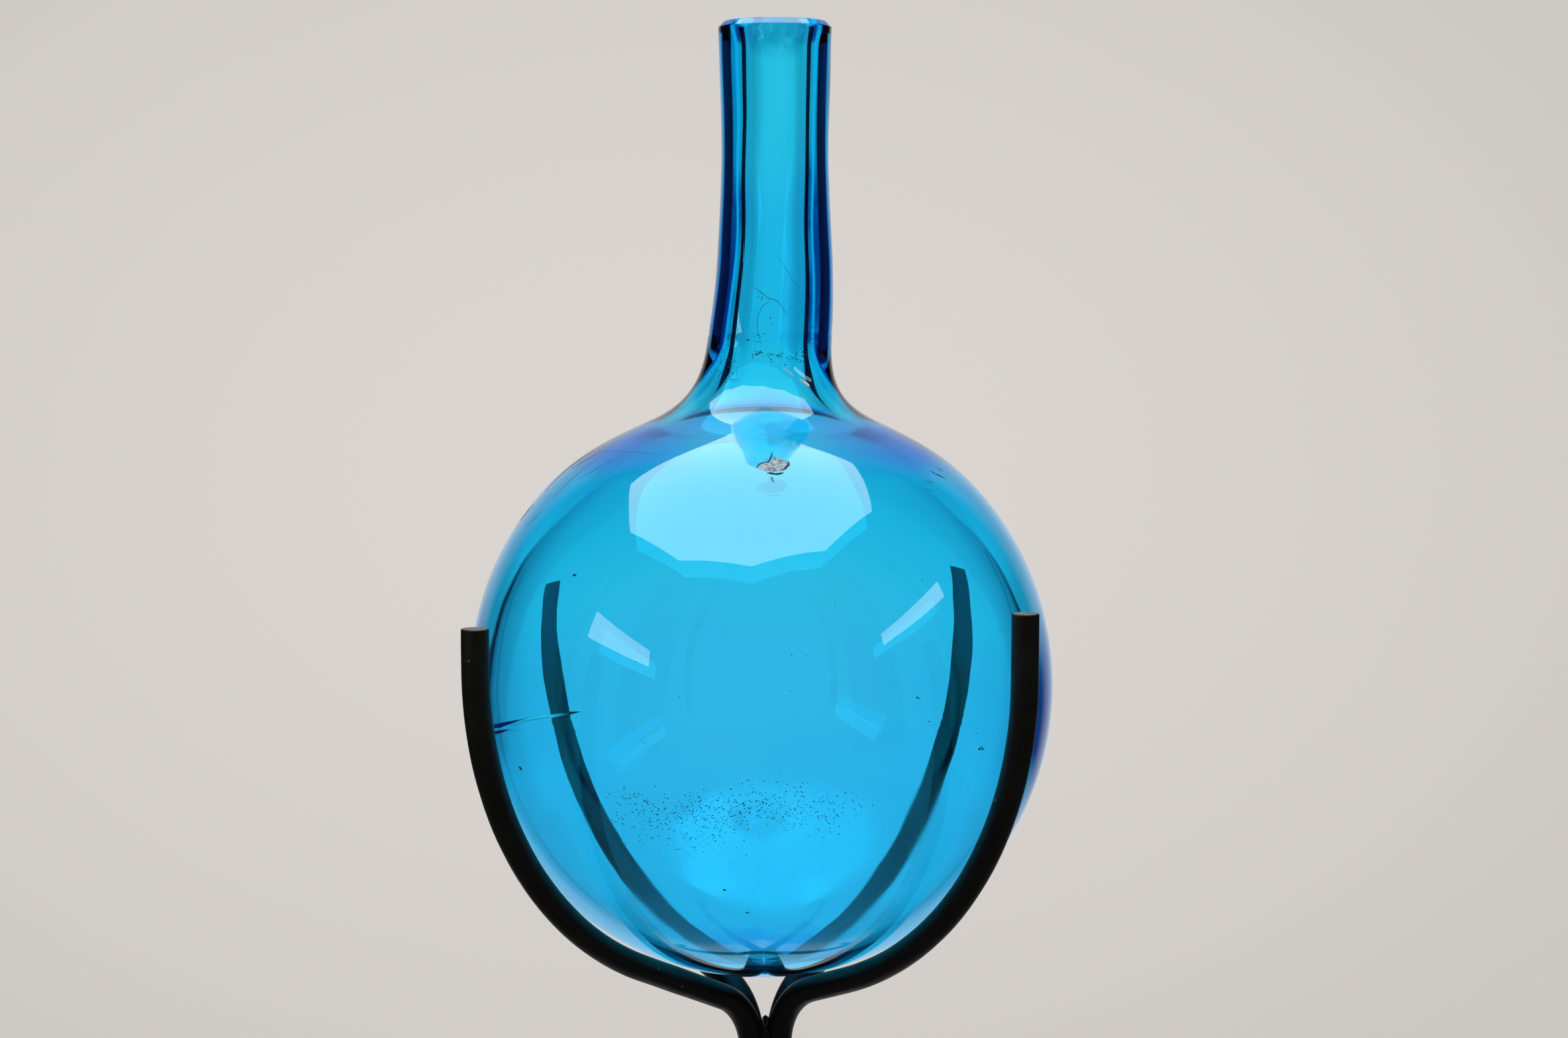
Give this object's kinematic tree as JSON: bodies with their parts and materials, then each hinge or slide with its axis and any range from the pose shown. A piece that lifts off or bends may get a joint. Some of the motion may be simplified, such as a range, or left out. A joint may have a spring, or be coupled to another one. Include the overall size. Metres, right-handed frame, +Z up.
{
  "type": "storm glass",
  "caption": "Empty open-necked blue glass globe flask that rests in, and lifts out of, a four-armed black bar stand with splayed legs.",
  "frame": {"origin": "on the table under the centre of the globe, which is also the centre of the footprint", "axes": "+Z up along the neck, +X to the right and -Y to the front as it stands in use; the neck leans slightly towards +X"},
  "size_m": [0.135, 0.135, 0.3438],
  "materials": {
    "blue_glass": "polished",
    "black_lacquer": "satin"
  },
  "bodies": {
    "stand": {"rod_front_left": "black_lacquer", "rod_front_right": "black_lacquer", "rod_rear_left": "black_lacquer", "rod_rear_right": "black_lacquer", "weld_upper_front": "black_lacquer", "weld_upper_right": "black_lacquer", "weld_upper_rear": "black_lacquer", "weld_upper_left": "black_lacquer", "weld_lower_front": "black_lacquer", "weld_lower_right": "black_lacquer", "weld_lower_rear": "black_lacquer", "weld_lower_left": "black_lacquer"},
    "flask": {"flask": "blue_glass"}
  },
  "joints": [
    {"name": "flask_lift", "type": "slide", "parent": "stand", "child": "flask", "axis": [0, 0, 1], "range_m": [0, 0.12]}
  ]
}
